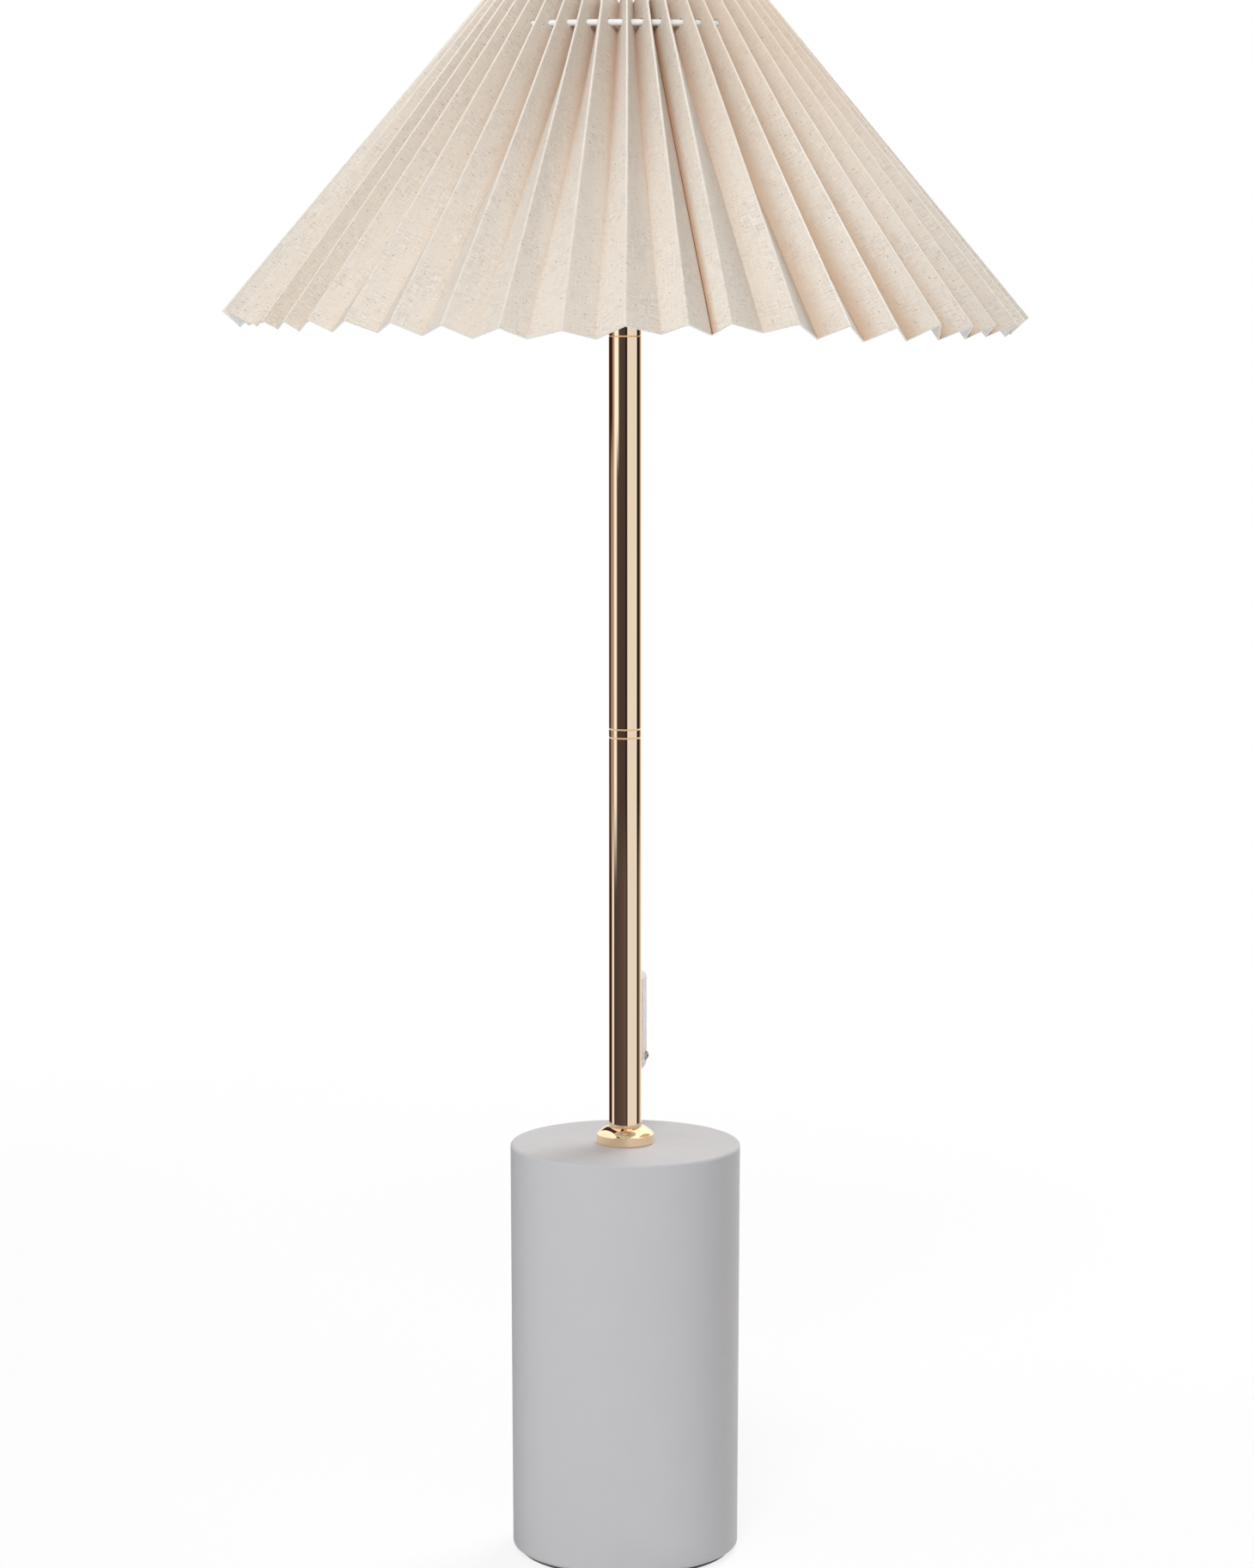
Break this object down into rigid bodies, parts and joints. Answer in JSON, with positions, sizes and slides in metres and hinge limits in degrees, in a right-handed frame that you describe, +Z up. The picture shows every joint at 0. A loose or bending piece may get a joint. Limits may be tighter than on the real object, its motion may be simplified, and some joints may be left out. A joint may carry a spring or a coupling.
{
  "type": "fabric table lamp",
  "caption": "Table lamp with a cylindrical cement base, a jointed gold pole with a rocker switch behind it and a wide conical pleated linen shade on a wire frame.",
  "frame": {"origin": "on the table surface, under the middle of the base", "axes": "+Z up along the pole; +Y towards the back of the lamp, where the switch and the cord inlet are; +X to the right seen from the front"},
  "size_m": [0.3864, 0.3866, 0.7657],
  "materials": {
    "cement": "fine matt cement, light grey",
    "felt": "pressed felt",
    "steel": "zinc plated steel",
    "gold": "polished light gold plating",
    "lead_sheath": "flexible sheath",
    "white_plastic": "white moulded plastic",
    "white_gloss": "glossy white plastic",
    "white_holder": "white moulded thermoset",
    "white_rubber": "soft white rubber",
    "screw_steel": "nickel plated screw",
    "brass": "plain brass",
    "ceramic": "unglazed steatite",
    "shell_metal": "pressed and plated",
    "white_wire": "white powder coat on steel wire",
    "linen": "natural linen and cotton weave, pleated, laminated"
  },
  "bodies": {
    "stand": {"base_pad": "felt", "base_body": "cement", "base_washer": "steel", "base_nut": "steel", "tie_tube": "steel", "base_collar": "gold", "lower_pole": "gold", "pole_insert": "steel", "pole_coupler": "gold", "upper_pole": "gold", "pole_neck": "gold", "holder_nipple": "steel", "inner_lead": "lead_sheath", "terminal_block": "white_plastic", "clamp_screws": "brass", "block_screw": "steel", "cord_grommet": "white_rubber", "switch_saddle": "white_plastic", "switch_cover": "white_plastic", "saddle_screws": "steel", "cover_screw": "screw_steel", "switch_terminals": "brass", "switch_cores": "lead_sheath", "holder_cap": "white_holder", "lock_screw": "steel", "holder_sleeve": "white_holder", "holder_core": "ceramic", "holder_screws": "steel", "holder_cores": "lead_sheath", "screw_shell": "shell_metal", "centre_contact": "brass"},
    "rocker": {"switch_rocker": "white_gloss"},
    "contact": {"contact_bar": "brass"},
    "shade": {"fitter_ring": "white_wire", "lower_ring": "white_wire", "top_ring": "white_wire", "spider_arms": "white_wire", "shade_struts": "white_wire", "shade_fabric": "linen"},
    "ring": {"shade_ring": "white_holder"}
  },
  "joints": [
    {"name": "rocker_tilt", "type": "hinge", "parent": "stand", "child": "rocker", "pos_m": [0, 0.016, 0.2613], "axis": [-1, 0, 0], "range_deg": [0, 14]},
    {"name": "contact_tilt", "type": "hinge", "parent": "stand", "child": "contact", "pos_m": [0, 0.0126, 0.2613], "axis": [1, 0, 0], "range_deg": [0, 12]},
    {"name": "shade_turn", "type": "hinge", "parent": "stand", "child": "shade", "pos_m": [0, 0, 0.63235], "axis": [0, 0, 1], "continuous": true},
    {"name": "ring_turn", "type": "hinge", "parent": "stand", "child": "ring", "pos_m": [0, 0, 0.6375], "axis": [0, 0, 1], "continuous": true}
  ],
  "couplings": [
    {"joint": "contact_tilt", "follows": "rocker_tilt", "ratio": 0.857}
  ]
}
